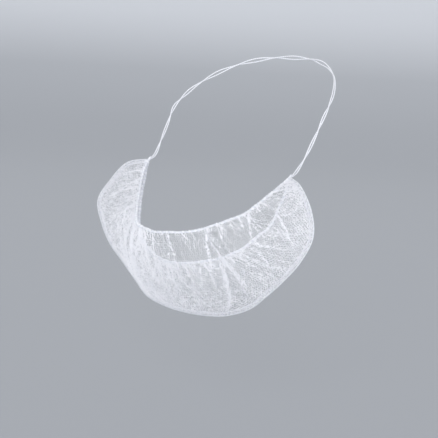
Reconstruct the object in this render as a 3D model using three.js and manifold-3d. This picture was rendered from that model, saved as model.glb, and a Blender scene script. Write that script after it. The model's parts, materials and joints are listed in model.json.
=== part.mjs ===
// Disposable beard net in its worn form: a bag of fine white net under the jaw, an elastic along the
// lip and one at the throat, and a twisted pair of elastic strands from ear to ear round the head.
// Millimetres. X runs across the face, +X to the wearer's left, -Y is forward, +Z is up.
// The origin is midway between the two side tacks, in the middle of the space that the head fills.
import * as THREE from 'three';
import { mergeVertices } from 'three/addons/utils/BufferGeometryUtils.js';
import Module from 'manifold-3d';

const wasm = await Module();
wasm.setup();

// Driving sizes
const tackHalfSpan = 74; // middle of the face to a side tack
const lipReach = 80; // tacks to the front of the lip elastic
const lipDrop = 44; // tacks down to the lip elastic's lowest point
const throatReach = 57; // tacks to the front of the throat elastic
const throatDrop = 72.5; // tacks down to the throat elastic
const wingHalfSpan = 111; // middle to the outermost point of a wing
const seamReach = 40; // tacks to the front of the outer seam
const bagDrop = 116; // tacks down to the bottom of the bag
const loopHalfSpan = 79; // middle to the head elastic above the ear
const loopBack = 121; // tacks back to the head elastic's rear middle
const loopRise = 99; // tacks up to the head elastic's highest point

const netWall = 1; // solid wall that stands for the net and its fine crumple
const lipBand = 2.4; // thickness of the gathered lip edge
const throatBand = 2; // thickness of the gathered throat edge
const seamWidth = 3.4; // overlocked seam, across
const seamThickness = 1.6;
const strandThickness = 1.3; // one strand of the head elastic
const strandPart = 2.4; // widest gap that opens between the two strands
const tackWidth = 6.4; // side tack, across the cheek
const tackHeight = 9.2;
const tackPleat = 0.5; // depth of the tack's pleats
const clearance = 0.3; // gap between neighbouring pieces
const frontPuff = 7; // how far the front panel bellies out
const backPuff = 9; // how far the back panel bellies out
const foldHeight = 3.4;
const foldWidth = 9;
const gatherPitch = 5; // one pucker of a gathered edge
const gatherDepth = 0.35;
const twistPitch = 62; // one turn of the two strands round each other

// Mesh fineness
const panelColumns = 92;
const panelRows = 7;
const bandSides = 6;
const seamColumns = 70;
const strandSteps = 76;
const tackPleats = 7;

// Half rails from the middle of the face (first row) to the left tack (last row).
// Columns are shares of the half span, the reach forward and the drop.
const lipRows = [
  { across: 0, forward: 1, down: 1 },
  { across: 0.158, forward: 0.964, down: 0.984 },
  { across: 0.301, forward: 0.895, down: 0.971 },
  { across: 0.417, forward: 0.794, down: 0.926 },
  { across: 0.52, forward: 0.686, down: 0.85 },
  { across: 0.622, forward: 0.566, down: 0.757 },
  { across: 0.72, forward: 0.449, down: 0.657 },
  { across: 0.805, forward: 0.34, down: 0.507 },
  { across: 0.88, forward: 0.234, down: 0.33 },
  { across: 0.946, forward: 0.123, down: 0.159 },
  { across: 1, forward: 0, down: 0 },
];
const throatRows = [
  { across: 0, forward: 1, down: 1 },
  { across: 0.174, forward: 0.961, down: 0.986 },
  { across: 0.338, forward: 0.886, down: 0.949 },
  { across: 0.493, forward: 0.784, down: 0.91 },
  { across: 0.63, forward: 0.667, down: 0.846 },
  { across: 0.747, forward: 0.54, down: 0.753 },
  { across: 0.841, forward: 0.411, down: 0.636 },
  { across: 0.922, forward: 0.27, down: 0.52 },
  { across: 0.959, forward: 0.181, down: 0.359 },
  { across: 0.986, forward: 0.088, down: 0.194 },
  { across: 1, forward: 0, down: 0 },
];
// The seam ends in the tack, whose place is added after these rows; across is a share of the wing.
const seamRows = [
  { across: 0, forward: 1, down: 1 },
  { across: 0.192, forward: 0.938, down: 0.997 },
  { across: 0.378, forward: 0.838, down: 0.97 },
  { across: 0.541, forward: 0.675, down: 0.901 },
  { across: 0.682, forward: 0.675, down: 0.778 },
  { across: 0.815, forward: 0.713, down: 0.649 },
  { across: 0.928, forward: 0.663, down: 0.504 },
  { across: 0.998, forward: 0.593, down: 0.336 },
  { across: 0.932, forward: 0.4, down: 0.178 },
  { across: 0.809, forward: 0.25, down: 0.039 },
];
// Shares of each panel's puff at the same stations.
const puffRows = [
  { front: 1, back: 0.8 },
  { front: 1, back: 0.85 },
  { front: 0.95, back: 0.95 },
  { front: 0.85, back: 1 },
  { front: 0.7, back: 1 },
  { front: 0.6, back: 0.95 },
  { front: 0.55, back: 0.8 },
  { front: 0.5, back: 0.6 },
  { front: 0.45, back: 0.4 },
  { front: 0.3, back: 0.2 },
  { front: 0, back: 0 },
];
// Half loop of the head elastic to the rear middle: shares of span, back and rise. It starts at the
// tack, whose place is added before these rows.
const loopRows = [
  { across: 0.943, back: 0.083, up: 0.051 },
  { across: 0.968, back: 0.165, up: 0.172 },
  { across: 0.987, back: 0.256, up: 0.333 },
  { across: 1, back: 0.33, up: 0.475 },
  { across: 0.981, back: 0.421, up: 0.576 },
  { across: 0.924, back: 0.554, up: 0.697 },
  { across: 0.785, back: 0.719, up: 0.828 },
  { across: 0.57, back: 0.86, up: 0.929 },
  { across: 0.304, back: 0.959, up: 0.985 },
  { across: 0, back: 1, up: 1 },
];
// Folds: where each starts along the edge (-1 right tack, 0 front, 1 left tack), how far it drifts
// along on its way out, the shares of the panel's depth it runs between, and shares of size.
const frontFolds = [
  { start: -0.86, drift: 0.06, from: 0, to: 0.8, height: 0.6, width: 0.8 },
  { start: -0.7, drift: 0.03, from: 0, to: 0.9, height: 0.8, width: 1 },
  { start: -0.52, drift: -0.02, from: 0, to: 0.7, height: 0.7, width: 0.8 },
  { start: -0.36, drift: 0.04, from: 0, to: 0.9, height: 0.8, width: 0.9 },
  { start: -0.2, drift: -0.03, from: 0, to: 0.6, height: 0.5, width: 0.8 },
  { start: -0.05, drift: 0.02, from: 0, to: 0.7, height: 0.5, width: 0.9 },
  { start: 0.13, drift: -0.02, from: 0, to: 0.6, height: 0.5, width: 0.8 },
  { start: 0.3, drift: -0.03, from: 0, to: 0.5, height: 0.5, width: 0.7 },
  { start: 0.36, drift: 0, from: 0, to: 0.95, height: 1, width: 0.9 },
  { start: 0.44, drift: -0.05, from: 0, to: 0.6, height: 0.9, width: 0.8 },
  { start: 0.53, drift: -0.04, from: 0, to: 0.6, height: 0.6, width: 0.7 },
  { start: 0.63, drift: -0.06, from: 0, to: 0.85, height: 0.9, width: 0.8 },
  { start: 0.74, drift: -0.03, from: 0, to: 0.6, height: 0.5, width: 0.7 },
  { start: 0.84, drift: 0.04, from: 0, to: 0.8, height: 0.5, width: 0.8 },
];
const backFolds = [
  { start: -0.8, drift: 0.08, from: 0, to: 0.9, height: 0.7, width: 0.9 },
  { start: -0.62, drift: 0.05, from: 0, to: 0.8, height: 0.8, width: 0.9 },
  { start: -0.45, drift: -0.03, from: 0, to: 0.9, height: 0.8, width: 1 },
  { start: -0.28, drift: 0.03, from: 0, to: 0.9, height: 0.8, width: 0.9 },
  { start: -0.1, drift: -0.02, from: 0, to: 0.8, height: 0.6, width: 0.9 },
  { start: 0.06, drift: 0.02, from: 0, to: 0.9, height: 0.6, width: 0.9 },
  { start: 0.2, drift: -0.02, from: 0, to: 0.8, height: 0.7, width: 0.8 },
  { start: 0.31, drift: 0, from: 0, to: 1, height: 1, width: 0.9 },
  { start: 0.4, drift: 0.03, from: 0, to: 0.7, height: 0.7, width: 0.8 },
  { start: 0.52, drift: -0.08, from: 0.1, to: 1, height: 0.8, width: 0.9 },
  { start: 0.68, drift: 0.06, from: 0, to: 0.9, height: 0.8, width: 0.9 },
  { start: 0.78, drift: 0.09, from: 0, to: 0.9, height: 0.9, width: 0.8 },
];

// Colours and finishes
const netMaterial = new THREE.MeshStandardMaterial({ color: 0xe6e8ee, roughness: 0.75, metalness: 0 });
const elasticMaterial = new THREE.MeshStandardMaterial({ color: 0xf3f4f8, roughness: 0.6, metalness: 0 });
const seamMaterial = new THREE.MeshStandardMaterial({ color: 0xeceef3, roughness: 0.7, metalness: 0 });

// Uniform Catmull-Rom weights of four neighbouring rows at a share t between the middle two.
function splineWeights(t) {
  return [
    0.5 * (-t + 2 * t * t - t * t * t),
    0.5 * (2 - 5 * t * t + 3 * t * t * t),
    0.5 * (t + 4 * t * t - 3 * t * t * t),
    0.5 * (-t * t + t * t * t),
  ];
}

// Row values at a share from 0 to 1; the spline goes on evenly past the first row when mirrored.
function rowsAt(points, share, mirrorFirst) {
  const last = points.length - 1;
  const place = share * last;
  const index = Math.min(Math.floor(place), last - 1);
  const weights = splineWeights(place - index);
  const value = new THREE.Vector3();
  for (let k = 0; k < 4; k += 1) {
    let row = index + k - 1;
    let point;
    if (row < 0) {
      point = mirrorFirst(points[1]);
    } else if (row > last) {
      point = points[last].clone().multiplyScalar(2).sub(points[last - 1]);
    } else {
      point = points[row];
    }
    value.addScaledVector(point, weights[k]);
  }
  return value;
}

const mirrorAcross = (point) => new THREE.Vector3(-point.x, point.y, point.z);
const tackCentre = new THREE.Vector3(tackHalfSpan, 0, 0);

// A rail through a half table, followed from the right tack (-1) to the left one (1).
function makeRail(points) {
  return (along) => {
    const value = rowsAt(points, Math.abs(along), mirrorAcross);
    return along < 0 ? mirrorAcross(value) : value;
  };
}

const lipRail = makeRail(lipRows.map((row) =>
  new THREE.Vector3(row.across * tackHalfSpan, -row.forward * lipReach, -row.down * lipDrop)));
const throatRail = makeRail(throatRows.map((row) =>
  new THREE.Vector3(row.across * tackHalfSpan, -row.forward * throatReach, -row.down * throatDrop)));
const seamRail = makeRail([
  ...seamRows.map((row) =>
    new THREE.Vector3(row.across * wingHalfSpan, -row.forward * seamReach, -row.down * bagDrop)),
  tackCentre.clone(),
]);
const puffRail = makeRail(puffRows.map((row) => new THREE.Vector3(0, row.front, row.back)));

// Unit direction in which a rail runs.
function railDirection(rail, along) {
  const step = 0.01;
  const ahead = rail(Math.min(along + step, 1));
  return ahead.sub(rail(Math.max(along - step, -1))).normalize();
}

// Builds one closed body from rings of equal length, each ring closed on itself, with flat ends.
function ringsToGeometry(rings) {
  const sides = rings[0].length;
  const positions = [];
  const indices = [];
  for (const ring of rings) {
    for (const point of ring) {
      positions.push(point.x, point.y, point.z);
    }
  }
  for (let i = 0; i < rings.length - 1; i += 1) {
    for (let k = 0; k < sides; k += 1) {
      const a = i * sides + k;
      const b = i * sides + ((k + 1) % sides);
      indices.push(a, a + sides, b, b, a + sides, b + sides);
    }
  }
  const lastRing = (rings.length - 1) * sides;
  for (let k = 1; k < sides - 1; k += 1) {
    indices.push(0, k, k + 1);
    indices.push(lastRing, lastRing + k + 1, lastRing + k);
  }
  return makeGeometry(positions, indices);
}

// An indexed geometry whose faces point out: they are turned round if its volume is negative.
function makeGeometry(positions, indices) {
  let volume = 0;
  const corner = (index) => new THREE.Vector3().fromArray(positions, index * 3);
  for (let i = 0; i < indices.length; i += 3) {
    const [a, b, c] = [corner(indices[i]), corner(indices[i + 1]), corner(indices[i + 2])];
    volume += a.dot(b.cross(c));
  }
  if (volume < 0) {
    for (let i = 0; i < indices.length; i += 3) {
      [indices[i + 1], indices[i + 2]] = [indices[i + 2], indices[i + 1]];
    }
  }
  const geometry = new THREE.BufferGeometry();
  geometry.setAttribute('position', new THREE.Float32BufferAttribute(positions, 3));
  geometry.setIndex(indices);
  return geometry;
}

function toSolid(geometry) {
  const bare = geometry.clone();
  bare.deleteAttribute('normal');
  bare.deleteAttribute('uv');
  const merged = mergeVertices(bare);
  return new wasm.Manifold(new wasm.Mesh({
    numProp: 3,
    vertProperties: new Float32Array(merged.attributes.position.array),
    triVerts: new Uint32Array(merged.index.array),
  }));
}

function toGeometry(solid) {
  const mesh = solid.getMesh();
  const geometry = new THREE.BufferGeometry();
  geometry.setAttribute('position', new THREE.BufferAttribute(mesh.vertProperties, 3));
  geometry.setIndex(new THREE.BufferAttribute(mesh.triVerts, 1));
  return geometry;
}

// A side tack: the bunched ends of net and elastic, a pleated bead standing on its long axis.
// Radius across a pleat = half width x sine of the height angle, less the pleat's cosine wave.
function tackGeometry(centre, growth) {
  const rings = [];
  const levels = 8;
  const sides = tackPleats * 2;
  for (let i = 1; i < levels; i += 1) {
    const rise = Math.PI * (i / levels - 0.5);
    const ring = [];
    for (let k = 0; k < sides; k += 1) {
      const turn = (2 * Math.PI * k) / sides;
      const pleat = k % 2 === 0 ? 0 : tackPleat;
      const radius = (tackWidth / 2 - pleat) * Math.cos(rise) + growth;
      const height = (tackHeight / 2) * Math.sin(rise) * (1 + growth / tackHeight * 2);
      ring.push(new THREE.Vector3(Math.cos(turn) * radius, Math.sin(turn) * radius, height).add(centre));
    }
    rings.push(ring);
  }
  return ringsToGeometry(rings);
}

// The plain hull of a tack grown by the clearance: what is cut off every piece that runs into it.
function tackCutter(centre) {
  const geometry = new THREE.SphereGeometry(1, 16, 10);
  geometry.scale(tackWidth / 2 + clearance * 2, tackWidth / 2 + clearance * 2, tackHeight / 2 + clearance * 2);
  geometry.translate(centre.x, centre.y, centre.z);
  return toSolid(geometry);
}

const tackCutters = [tackCutter(tackCentre), tackCutter(mirrorAcross(tackCentre))];

// Trims a piece clear of both tacks.
function trimAtTacks(geometry) {
  let solid = toSolid(geometry);
  for (const cutter of tackCutters) {
    solid = solid.subtract(cutter);
  }
  return toGeometry(solid);
}

// A gathered edge: a cord of net ruched over elastic, fat and thin by turns along the rail.
function gatheredEdge(rail, thickness) {
  let length = 0;
  const probes = 64;
  for (let i = 0; i < probes; i += 1) {
    length += rail(-1 + (2 * i) / probes).distanceTo(rail(-1 + (2 * (i + 1)) / probes));
  }
  const columns = 2 * Math.round(length / gatherPitch);
  const rings = [];
  for (let i = 0; i <= columns; i += 1) {
    const along = -1 + (2 * i) / columns;
    const centre = rail(along);
    const ahead = railDirection(rail, along);
    const outward = new THREE.Vector3(centre.x, centre.y, 0).normalize();
    const across = new THREE.Vector3().crossVectors(ahead, outward).normalize();
    const out = new THREE.Vector3().crossVectors(across, ahead);
    const radius = thickness / 2 - (i % 2) * gatherDepth;
    const ring = [];
    for (let k = 0; k < bandSides; k += 1) {
      const turn = (2 * Math.PI * k) / bandSides;
      ring.push(centre.clone()
        .addScaledVector(out, radius * Math.cos(turn))
        .addScaledVector(across, radius * Math.sin(turn)));
    }
    rings.push(ring);
  }
  return trimAtTacks(ringsToGeometry(rings));
}

// Direction in which the bag's edge points away from both elastics, square to the seam.
function seamOutward(along) {
  const seam = seamRail(along);
  const fromLip = seam.clone().sub(lipRail(along)).normalize();
  const fromThroat = seam.clone().sub(throatRail(along)).normalize();
  const ahead = railDirection(seamRail, along);
  const outward = fromLip.add(fromThroat);
  return outward.addScaledVector(ahead, -outward.dot(ahead)).normalize();
}

// The overlocked outer seam: a flat strip on edge with rounded sides, wide along the bag's edge.
function seamStrip() {
  const rings = [];
  const half = seamWidth / 2;
  const profile = [[half, 0], [half * 0.7, 0.5], [-half * 0.7, 0.5], [-half, 0], [-half * 0.7, -0.5],
    [half * 0.7, -0.5]];
  for (let i = 0; i <= seamColumns; i += 1) {
    const along = -1 + (2 * i) / seamColumns;
    const centre = seamRail(along);
    const outward = seamOutward(along);
    const across = new THREE.Vector3().crossVectors(railDirection(seamRail, along), outward);
    rings.push(profile.map(([out, side]) => centre.clone()
      .addScaledVector(outward, out)
      .addScaledVector(across, side * seamThickness)));
  }
  return trimAtTacks(ringsToGeometry(rings));
}

// Height of the folds at one place: each is a bell across and fades in and out along its run.
function foldRise(folds, along, depth, stretch) {
  let rise = 0;
  for (const fold of folds) {
    const run = (depth - fold.from) / (fold.to - fold.from);
    if (run > 0 && run < 1) {
      const offset = (along - fold.start - fold.drift * run) * stretch;
      const bell = Math.exp(-((offset / (fold.width * foldWidth * 0.5)) ** 2));
      rise += fold.height * foldHeight * bell * Math.sin(Math.PI * Math.min(run + 0.2, 1));
    }
  }
  return rise;
}

// One net panel from a gathered edge to the seam. Its middle surface is the straight line between
// the two rails, bellied out by the puff as a parabola and by the folds; a wall is laid on it.
function netPanel({ rail, band, folds, puff, puffColumn, side }) {
  const middle = [];
  for (let i = 0; i <= panelColumns; i += 1) {
    const along = -1 + (2 * i) / panelColumns;
    const start = rail(along);
    const end = seamRail(along);
    const chord = end.clone().sub(start);
    const stretch = 2 * wingHalfSpan;
    const startMargin = band / 2 + clearance;
    const endMargin = seamWidth / 2 + 2 * clearance;
    const room = Math.min(1, (0.6 * chord.length()) / (startMargin + endMargin));
    const first = (startMargin * room) / Math.max(chord.length(), 0.01);
    const last = 1 - (endMargin * room) / Math.max(chord.length(), 0.01);
    const run = railDirection(rail, along).add(railDirection(seamRail, along));
    const outward = new THREE.Vector3().crossVectors(run, chord).normalize().multiplyScalar(side);
    const puffHere = puffRail(along)[puffColumn] * puff;
    const column = [];
    for (let j = 0; j <= panelRows; j += 1) {
      const depth = first + ((last - first) * j) / panelRows;
      const belly = puffHere * 4 * depth * (1 - depth);
      const fade = Math.min(1, chord.length() / foldWidth / 2);
      const folded = foldRise(folds, along, j / panelRows, stretch) * fade;
      const apart = (netWall / 2 + clearance) * depth ** 3;
      column.push(start.clone()
        .addScaledVector(chord, depth)
        .addScaledVector(outward, belly + folded + apart));
    }
    middle.push(column);
  }
  return trimAtTacks(wallOnGrid(middle));
}

// Gives a grid of points a wall, half of it on each side, and closes its four edges.
function wallOnGrid(grid) {
  const columns = grid.length - 1;
  const rows = grid[0].length - 1;
  const positions = [];
  const indices = [];
  for (const sign of [1, -1]) {
    for (let i = 0; i <= columns; i += 1) {
      for (let j = 0; j <= rows; j += 1) {
        const along = grid[Math.min(i + 1, columns)][j].clone().sub(grid[Math.max(i - 1, 0)][j]);
        const down = grid[i][Math.min(j + 1, rows)].clone().sub(grid[i][Math.max(j - 1, 0)]);
        const normal = along.cross(down).normalize();
        const point = grid[i][j].clone().addScaledVector(normal, (sign * netWall) / 2);
        positions.push(point.x, point.y, point.z);
      }
    }
  }
  const sheet = (columns + 1) * (rows + 1);
  const at = (i, j, layer) => layer * sheet + i * (rows + 1) + j;
  const quad = (a, b, c, d) => indices.push(a, b, c, a, c, d);
  for (let i = 0; i < columns; i += 1) {
    for (let j = 0; j < rows; j += 1) {
      quad(at(i, j, 0), at(i + 1, j, 0), at(i + 1, j + 1, 0), at(i, j + 1, 0));
      quad(at(i, j, 1), at(i, j + 1, 1), at(i + 1, j + 1, 1), at(i + 1, j, 1));
    }
    quad(at(i, 0, 0), at(i, 0, 1), at(i + 1, 0, 1), at(i + 1, 0, 0));
    quad(at(i, rows, 0), at(i + 1, rows, 0), at(i + 1, rows, 1), at(i, rows, 1));
  }
  for (let j = 0; j < rows; j += 1) {
    quad(at(0, j, 0), at(0, j + 1, 0), at(0, j + 1, 1), at(0, j, 1));
    quad(at(columns, j, 0), at(columns, j, 1), at(columns, j + 1, 1), at(columns, j + 1, 0));
  }
  return makeGeometry(positions, indices);
}

// The head elastic's middle line as a curve, and one strand winding round it.
const loopPoints = loopRows.map((row) =>
  new THREE.Vector3(row.across * loopHalfSpan, row.back * loopBack, row.up * loopRise));
const loopRail = makeRail([tackCentre.clone(), ...loopPoints].reverse());

class HeadStrand extends THREE.Curve {
  constructor(phase) {
    super();
    this.phase = phase;
  }

  getPoint(share, target = new THREE.Vector3()) {
    const along = 1 - 2 * share;
    const centre = loopRail(along);
    const ahead = railDirection(loopRail, along);
    const up = new THREE.Vector3(0, 0, 1);
    const out = new THREE.Vector3().crossVectors(ahead, up).normalize();
    const across = new THREE.Vector3().crossVectors(out, ahead);
    const halfLoop = loopBack + loopHalfSpan;
    const turn = (2 * Math.PI * along * halfLoop) / twistPitch + this.phase;
    const apart = (strandThickness + clearance) / 2;
    const parted = (strandPart / 2) * Math.abs(Math.sin(turn)) * Math.sin(Math.PI * share) ** 2;
    return target.copy(centre)
      .addScaledVector(out, apart * Math.cos(turn))
      .addScaledVector(across, (apart + parted) * Math.sin(turn));
  }
}

function headStrand(phase) {
  const section = new THREE.Shape();
  for (let k = 0; k < bandSides; k += 1) {
    const turn = (2 * Math.PI * k) / bandSides;
    const [x, y] = [Math.cos(turn) * strandThickness / 2, Math.sin(turn) * strandThickness / 2];
    if (k === 0) {
      section.moveTo(x, y);
    } else {
      section.lineTo(x, y);
    }
  }
  section.closePath();
  const geometry = new THREE.ExtrudeGeometry(section, {
    steps: strandSteps,
    extrudePath: new HeadStrand(phase),
    bevelEnabled: false,
  });
  return trimAtTacks(geometry);
}

const beardNet = new THREE.Group();

function addPiece(name, geometry, material) {
  const mesh = new THREE.Mesh(geometry, material);
  mesh.name = name;
  beardNet.add(mesh);
}

addPiece('net_front', netPanel({
  rail: lipRail, band: lipBand, folds: frontFolds, puff: frontPuff, puffColumn: 'y', side: -1,
}), netMaterial);
addPiece('net_back', netPanel({
  rail: throatRail, band: throatBand, folds: backFolds, puff: backPuff, puffColumn: 'z', side: 1,
}), netMaterial);
addPiece('edge_seam', seamStrip(), seamMaterial);
addPiece('lip_elastic', gatheredEdge(lipRail, lipBand), elasticMaterial);
addPiece('throat_elastic', gatheredEdge(throatRail, throatBand), elasticMaterial);
addPiece('head_elastic_upper', headStrand(Math.PI / 2), elasticMaterial);
addPiece('head_elastic_lower', headStrand(-Math.PI / 2), elasticMaterial);
addPiece('side_tack_left', tackGeometry(tackCentre, 0), elasticMaterial);
addPiece('side_tack_right', tackGeometry(mirrorAcross(tackCentre), 0), elasticMaterial);

export default beardNet;
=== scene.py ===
import json
import math

import bpy
import numpy as np
from mathutils import Matrix, Vector

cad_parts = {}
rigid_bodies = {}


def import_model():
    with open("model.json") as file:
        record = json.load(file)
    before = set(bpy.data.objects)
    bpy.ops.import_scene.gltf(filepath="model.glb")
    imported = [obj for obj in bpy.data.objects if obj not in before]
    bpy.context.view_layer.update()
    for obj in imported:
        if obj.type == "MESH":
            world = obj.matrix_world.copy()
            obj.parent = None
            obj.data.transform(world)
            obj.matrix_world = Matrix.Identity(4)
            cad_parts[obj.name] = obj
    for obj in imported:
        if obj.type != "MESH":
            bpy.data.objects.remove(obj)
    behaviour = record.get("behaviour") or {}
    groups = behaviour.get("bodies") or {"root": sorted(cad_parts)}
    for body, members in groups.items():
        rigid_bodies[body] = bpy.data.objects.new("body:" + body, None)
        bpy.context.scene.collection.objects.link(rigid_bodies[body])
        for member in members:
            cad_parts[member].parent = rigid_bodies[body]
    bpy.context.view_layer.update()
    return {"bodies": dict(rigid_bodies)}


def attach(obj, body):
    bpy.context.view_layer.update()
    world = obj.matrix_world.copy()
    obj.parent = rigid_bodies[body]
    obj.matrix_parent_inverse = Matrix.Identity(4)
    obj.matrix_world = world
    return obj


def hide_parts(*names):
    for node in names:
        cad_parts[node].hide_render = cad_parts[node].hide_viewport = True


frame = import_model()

# A disposable beard net as it is worn. Lengths are in millimetres until a mesh is made.
mm = 0.001

# The worn shape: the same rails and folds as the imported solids
fit = {
    "tackHalfSpan": 74.0,
    "lipReach": 80.0, "lipDrop": 44.0,
    "throatReach": 57.0, "throatDrop": 72.5,
    "wingHalfSpan": 111.0, "seamReach": 40.0, "bagDrop": 116.0,
    "loopHalfSpan": 79.0, "loopBack": 121.0, "loopRise": 99.0,
    "frontPuff": 7.0, "backPuff": 9.0,
    "foldHeight": 3.4, "foldWidth": 9.0,
}
tackPoint = np.array([fit["tackHalfSpan"], 0.0, 0.0])

# Shares of half span, reach forward and drop, from the middle of the net to the left tack
lipRows = np.array([
    (0, 1, 1), (0.158, 0.964, 0.984), (0.301, 0.895, 0.971), (0.417, 0.794, 0.926),
    (0.52, 0.686, 0.85), (0.622, 0.566, 0.757), (0.72, 0.449, 0.657), (0.805, 0.34, 0.507),
    (0.88, 0.234, 0.33), (0.946, 0.123, 0.159), (1, 0, 0),
])
throatRows = np.array([
    (0, 1, 1), (0.174, 0.961, 0.986), (0.338, 0.886, 0.949), (0.493, 0.784, 0.91),
    (0.63, 0.667, 0.846), (0.747, 0.54, 0.753), (0.841, 0.411, 0.636), (0.922, 0.27, 0.52),
    (0.959, 0.181, 0.359), (0.986, 0.088, 0.194), (1, 0, 0),
])
seamRows = np.array([
    (0, 1, 1), (0.192, 0.938, 0.997), (0.378, 0.838, 0.97), (0.541, 0.675, 0.901),
    (0.682, 0.675, 0.778), (0.815, 0.713, 0.649), (0.928, 0.663, 0.504), (0.998, 0.593, 0.336),
    (0.932, 0.4, 0.178), (0.809, 0.25, 0.039),
])
loopRows = np.array([
    (0.943, 0.083, 0.051), (0.968, 0.165, 0.172), (0.987, 0.256, 0.333), (1, 0.33, 0.475),
    (0.981, 0.421, 0.576), (0.924, 0.554, 0.697), (0.785, 0.719, 0.828), (0.57, 0.86, 0.929),
    (0.304, 0.959, 0.985), (0, 1, 1),
])
puffRows = np.array([  # shares of the front puff and the back puff at the seam's stations
    (1, 0.8), (1, 0.85), (0.95, 0.95), (0.85, 1), (0.7, 1), (0.6, 0.95), (0.55, 0.8),
    (0.5, 0.6), (0.45, 0.4), (0.3, 0.2), (0, 0),
])

lipPoints = lipRows * (fit["tackHalfSpan"], -fit["lipReach"], -fit["lipDrop"])
throatPoints = throatRows * (fit["tackHalfSpan"], -fit["throatReach"], -fit["throatDrop"])
seamPoints = np.vstack([seamRows * (fit["wingHalfSpan"], -fit["seamReach"], -fit["bagDrop"]), tackPoint])
loopPoints = np.vstack([tackPoint, loopRows * (fit["loopHalfSpan"], fit["loopBack"], fit["loopRise"])])[::-1]
puffPoints = np.column_stack([np.zeros(len(puffRows)), puffRows])


def unit(vectors):
    return vectors / np.maximum(np.linalg.norm(vectors, axis=-1, keepdims=True), 1e-9)


def railAt(points, along):
    # Four-point spline through the rows; along runs from the right tack (-1) over the middle (0) to the
    # left tack (1), the first row is mirrored across the middle and the last one runs straight on.
    along = np.asarray(along, float)
    rows = np.vstack([points[1] * (-1, 1, 1), points, 2 * points[-1] - points[-2]])
    place = np.abs(along) * (len(points) - 1)
    row = np.minimum(place.astype(int), len(points) - 2)
    t = place - row
    weights = (
        0.5 * (-t + 2 * t**2 - t**3),
        0.5 * (2 - 5 * t**2 + 3 * t**3),
        0.5 * (t + 4 * t**2 - 3 * t**3),
        0.5 * (-t**2 + t**3),
    )
    value = sum(w[..., None] * rows[row + k] for k, w in enumerate(weights))
    value[..., 0] *= np.where(along < 0, -1, 1)
    return value


def railDirection(points, along):
    step = 0.01
    return unit(railAt(points, np.minimum(along + step, 1)) - railAt(points, np.maximum(along - step, -1)))


def pathLength(points):
    return np.concatenate([[0], np.cumsum(np.linalg.norm(np.diff(points, axis=0), axis=1))])


def evenPath(railPoints, step):
    # Values of along at which a rail is cut into equal steps of about that length.
    samples = 4001
    along = np.linspace(-1, 1, samples)
    length = pathLength(railAt(railPoints, along))
    places = np.linspace(0, length[-1], int(round(length[-1] / step)) + 1)
    return np.interp(places, length, along), places


# Meshes
def makeMesh(name, points, faceGroups, uv=None, smooth=True):
    # points in mm; each group of faces is an array with one row of point numbers for each face.
    mesh = bpy.data.meshes.new(name)
    mesh.vertices.add(len(points))
    mesh.vertices.foreach_set("co", (np.asarray(points) * mm).astype(np.float32).ravel())
    corners = np.concatenate([group.ravel() for group in faceGroups]).astype(np.int32)
    totals = np.concatenate([np.full(len(group), group.shape[1]) for group in faceGroups]).astype(np.int32)
    starts = np.concatenate([[0], np.cumsum(totals)[:-1]]).astype(np.int32)
    mesh.loops.add(len(corners))
    mesh.loops.foreach_set("vertex_index", corners)
    mesh.polygons.add(len(totals))
    mesh.polygons.foreach_set("loop_start", starts)
    mesh.polygons.foreach_set("loop_total", totals)
    mesh.polygons.foreach_set("use_smooth", np.full(len(totals), smooth))
    if uv is not None:
        layer = mesh.uv_layers.new(name="UVMap")
        layer.data.foreach_set("uv", np.asarray(uv, np.float32)[corners].ravel())
    mesh.update(calc_edges=True)
    obj = bpy.data.objects.new(name, mesh)
    bpy.context.scene.collection.objects.link(obj)
    return obj


def joinParts(parts):
    # Several (points, faceGroups, uv) as one, with the point numbers moved on.
    points, groups, uvs, offset = [], [], [], 0
    for partPoints, partGroups, partUv in parts:
        points.append(partPoints)
        uvs.append(partUv)
        groups += [group + offset for group in partGroups]
        offset += len(partPoints)
    return np.concatenate(points), groups, np.concatenate(uvs)


def tubeAlong(points, hints, radius, sides):
    # A closed tube: at each point a ring in the plane of the hint and its cross with the path. radius is one
    # number, or an array with a row for each ring and a column for each side.
    along = unit(np.gradient(points, axis=0))
    side = unit(np.cross(along, hints))
    out = np.cross(side, along)
    turn = np.linspace(0, 2 * np.pi, sides, endpoint=False)
    radius = np.broadcast_to(np.asarray(radius, float), (len(points), sides))
    ring = points[:, None] + radius[..., None] * (
        np.cos(turn)[None, :, None] * out[:, None] + np.sin(turn)[None, :, None] * side[:, None])
    number = np.arange(len(points) * sides).reshape(len(points), sides)
    following = np.roll(number, -1, axis=1)
    quads = np.stack([number[:-1], following[:-1], following[1:], number[1:]], axis=-1).reshape(-1, 4)
    ends = np.stack([number[0, ::-1], number[-1]])
    length = pathLength(points)
    uv = np.stack(np.broadcast_arrays(length[:, None], turn[None, :] / (2 * np.pi)), axis=-1)
    return ring.reshape(-1, 3), [quads, ends], uv.reshape(-1, 2)


# Materials
def linear(hexColour):
    # sRGB hex to linear, with full alpha.
    value = np.array([int(hexColour[i:i + 2], 16) for i in (1, 3, 5)]) / 255
    value = np.where(value <= 0.04045, value / 12.92, ((value + 0.055) / 1.055) ** 2.4)
    return (*value, 1.0)


def addNode(material, kind, settings=None, links=None):
    # settings: a node's own property by name, or an input by its name or number; links: input to socket.
    node = material.node_tree.nodes.new(kind)
    for key, value in (settings or {}).items():
        if isinstance(key, str) and hasattr(node, key):
            setattr(node, key, value)
        else:
            node.inputs[key].default_value = value
    for key, socket in (links or {}).items():
        material.node_tree.links.new(socket, node.inputs[key])
    return node


def newMaterial(name):
    material = bpy.data.materials.new(name)
    material.use_nodes = True
    material.node_tree.nodes.clear()
    return material


def finishMaterial(material, shader):
    addNode(material, "ShaderNodeOutputMaterial", links={"Surface": shader.outputs[0]})
    return material


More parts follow.
